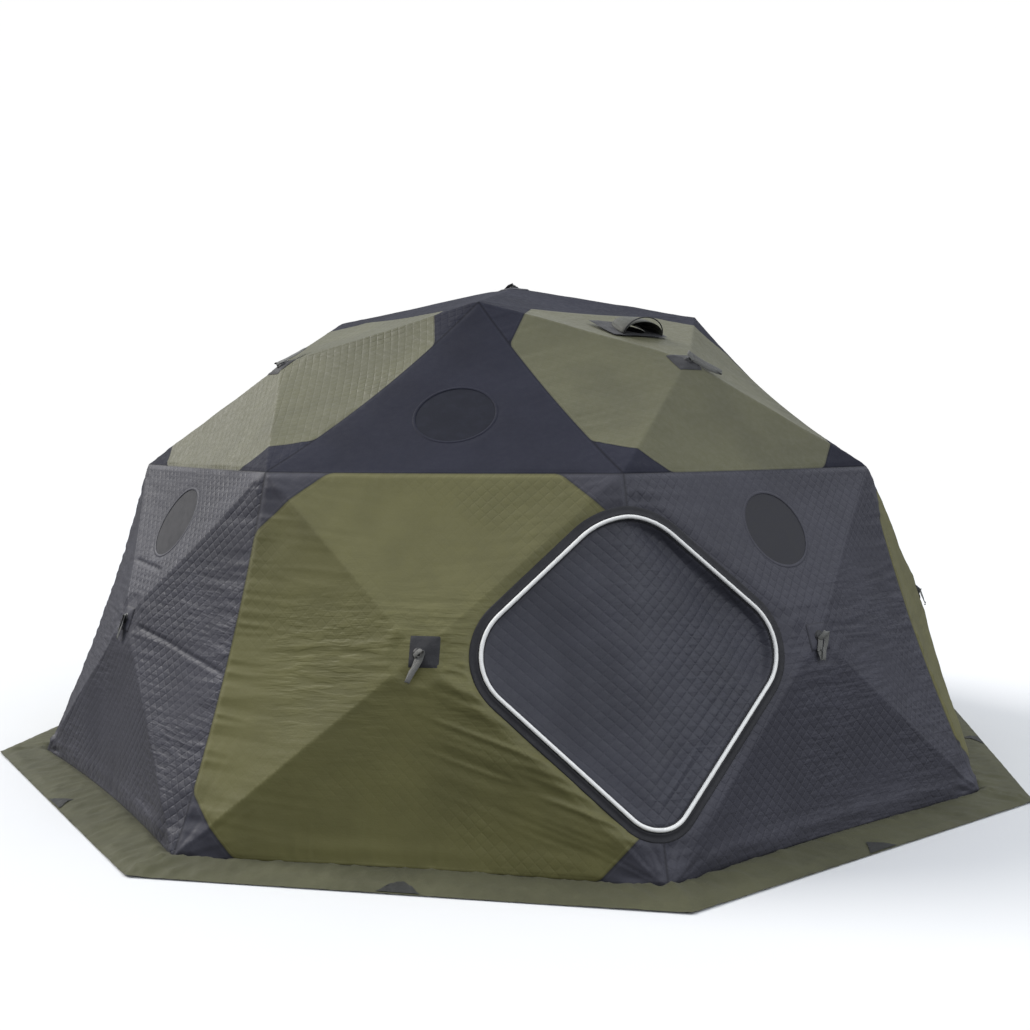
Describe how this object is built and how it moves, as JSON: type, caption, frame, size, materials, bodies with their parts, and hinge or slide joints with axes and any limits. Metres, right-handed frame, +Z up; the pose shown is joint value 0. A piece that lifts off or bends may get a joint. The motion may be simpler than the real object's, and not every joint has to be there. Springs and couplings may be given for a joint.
{
  "type": "ice fishing shelter",
  "caption": "Free-standing octagonal pop-up ice fishing shelter of quilted cloth held out by hubs and poles, with a zipped corner door, round windows, a roof vent and a ground skirt",
  "frame": {"origin": "On the ground at the centre of the octagonal foot, directly under the crown hub.", "axes": "+Z is up. -Y points at the corner that the door spans. The octagon's corners lie every 45 degrees from -Y."},
  "size_m": [5.324, 5.324, 2.3935],
  "materials": {
    "cloth_olive": "quilted polyester, olive",
    "cloth_dark": "quilted polyester, dark blue-grey",
    "cloth_skirt": "plain coated polyester, olive",
    "door_quilt": "diamond-quilted polyester, near black",
    "window_film": "dark clear film with its blackout flap behind",
    "piping_white": "white piping cord",
    "hub_plastic": "black glass-filled nylon",
    "pole_fibreglass": "fibreglass rod, satin",
    "mesh_black": "black insect mesh",
    "bow_plastic": "black plastic wire"
  },
  "bodies": {
    "shelter": {"skirt": "cloth_skirt", "wall_1": "cloth_dark", "wall_2": "cloth_olive", "wall_3": "cloth_dark", "wall_4": "cloth_olive", "wall_5": "cloth_dark", "wall_6": "cloth_olive", "wall_7": "cloth_dark", "wall_8": "cloth_olive", "roof_quarter_1": "cloth_olive", "roof_quarter_3": "cloth_olive", "roof_quarter_5": "cloth_olive", "roof_quarter_7": "cloth_olive", "roof_triangle_2": "cloth_dark", "roof_triangle_4": "cloth_dark", "roof_triangle_6": "cloth_dark", "roof_triangle_8": "cloth_dark", "crown_panel": "cloth_dark", "window_wall_1": "window_film", "window_wall_3": "window_film", "window_wall_5": "window_film", "window_wall_7": "window_film", "window_roof_2": "window_film", "window_roof_4": "window_film", "window_roof_6": "window_film", "window_roof_8": "window_film", "poles_wall_1": "pole_fibreglass", "poles_wall_2": "pole_fibreglass", "poles_wall_3": "pole_fibreglass", "poles_wall_4": "pole_fibreglass", "poles_wall_5": "pole_fibreglass", "poles_wall_6": "pole_fibreglass", "poles_wall_7": "pole_fibreglass", "poles_wall_8": "pole_fibreglass", "poles_roof_1": "pole_fibreglass", "poles_roof_3": "pole_fibreglass", "poles_roof_5": "pole_fibreglass", "poles_roof_7": "pole_fibreglass", "poles_crown": "pole_fibreglass", "door_surround": "cloth_dark", "door_piping": "piping_white"},
    "hub_wall_1": {"hub_wall_1": "hub_plastic"},
    "hub_wall_2": {"hub_wall_2": "hub_plastic"},
    "hub_wall_3": {"hub_wall_3": "hub_plastic"},
    "hub_wall_4": {"hub_wall_4": "hub_plastic"},
    "hub_wall_5": {"hub_wall_5": "hub_plastic"},
    "hub_wall_6": {"hub_wall_6": "hub_plastic"},
    "hub_wall_7": {"hub_wall_7": "hub_plastic"},
    "hub_wall_8": {"hub_wall_8": "hub_plastic"},
    "hub_roof_1": {"hub_roof_1": "hub_plastic"},
    "hub_roof_3": {"hub_roof_3": "hub_plastic"},
    "hub_roof_5": {"hub_roof_5": "hub_plastic"},
    "hub_roof_7": {"hub_roof_7": "hub_plastic"},
    "hub_crown": {"hub_crown": "hub_plastic"},
    "vent_frame": {"vent_mesh": "mesh_black", "vent_hood": "cloth_dark"},
    "vent_bow": {"vent_bow": "bow_plastic"},
    "door": {"door_leaf": "door_quilt"}
  },
  "joints": [
    {"name": "hub_wall_1_pop", "type": "slide", "parent": "shelter", "child": "hub_wall_1", "axis": [-0.3625, 0.875, -0.3208], "range_m": [0, 0.254], "deforming": ["wall_1", "poles_wall_1", "window_wall_1"]},
    {"name": "hub_wall_2_pop", "type": "slide", "parent": "shelter", "child": "hub_wall_2", "axis": [-0.875, 0.3625, -0.3208], "range_m": [0, 0.254], "deforming": ["wall_2", "poles_wall_2"]},
    {"name": "hub_wall_3_pop", "type": "slide", "parent": "shelter", "child": "hub_wall_3", "axis": [-0.875, -0.3625, -0.3208], "range_m": [0, 0.254], "deforming": ["wall_3", "poles_wall_3", "window_wall_3"]},
    {"name": "hub_wall_4_pop", "type": "slide", "parent": "shelter", "child": "hub_wall_4", "axis": [-0.3625, -0.875, -0.3208], "range_m": [0, 0.254], "deforming": ["wall_4", "poles_wall_4"]},
    {"name": "hub_wall_5_pop", "type": "slide", "parent": "shelter", "child": "hub_wall_5", "axis": [0.3625, -0.875, -0.3208], "range_m": [0, 0.254], "deforming": ["wall_5", "poles_wall_5", "window_wall_5"]},
    {"name": "hub_wall_6_pop", "type": "slide", "parent": "shelter", "child": "hub_wall_6", "axis": [0.875, -0.3625, -0.3208], "range_m": [0, 0.254], "deforming": ["wall_6", "poles_wall_6"]},
    {"name": "hub_wall_7_pop", "type": "slide", "parent": "shelter", "child": "hub_wall_7", "axis": [0.875, 0.3625, -0.3208], "range_m": [0, 0.254], "deforming": ["wall_7", "poles_wall_7", "window_wall_7"]},
    {"name": "hub_wall_8_pop", "type": "slide", "parent": "shelter", "child": "hub_wall_8", "axis": [0.3625, 0.875, -0.3208], "range_m": [0, 0.254], "deforming": ["wall_8", "poles_wall_8"]},
    {"name": "hub_roof_1_pop", "type": "slide", "parent": "shelter", "child": "hub_roof_1", "axis": [-0.22, 0.5312, -0.8182], "range_m": [0, 0.32], "deforming": ["roof_quarter_1", "poles_roof_1"]},
    {"name": "hub_roof_3_pop", "type": "slide", "parent": "shelter", "child": "hub_roof_3", "axis": [-0.5312, -0.22, -0.8182], "range_m": [0, 0.32], "deforming": ["roof_quarter_3", "poles_roof_3"]},
    {"name": "hub_roof_5_pop", "type": "slide", "parent": "shelter", "child": "hub_roof_5", "axis": [0.22, -0.5312, -0.8182], "range_m": [0, 0.32], "deforming": ["roof_quarter_5", "poles_roof_5"]},
    {"name": "hub_roof_7_pop", "type": "slide", "parent": "shelter", "child": "hub_roof_7", "axis": [0.5312, 0.22, -0.8182], "range_m": [0, 0.32], "deforming": ["roof_quarter_7", "poles_roof_7"]},
    {"name": "hub_crown_pop", "type": "slide", "parent": "shelter", "child": "hub_crown", "axis": [0, 0, -1], "range_m": [0, 0.352], "deforming": ["crown_panel", "poles_crown"]},
    {"name": "vent_tilt", "type": "hinge", "parent": "shelter", "child": "vent_frame", "pos_m": [0.26194, -0.63238, 2.209], "axis": [0.9239, 0.3827, 0], "range_deg": [0, 25.9], "deforming": ["roof_quarter_1", "poles_roof_1"]},
    {"name": "vent_bow_fold", "type": "hinge", "parent": "vent_frame", "child": "vent_bow", "pos_m": [0.40048, -0.96683, 2.06493], "axis": [-0.9239, -0.3827, 0], "range_deg": [0, 80], "deforming": ["vent_hood"]},
    {"name": "door_hinge", "type": "hinge", "parent": "shelter", "child": "door", "pos_m": [0.3407, -2.20809, 0.46417], "axis": [0.6717, 0.3893, 0.6303], "range_deg": [0, 110]}
  ],
  "couplings": [
    {"joint": "vent_tilt", "follows": "hub_roof_1_pop", "rad_per_m": 1.3874}
  ]
}
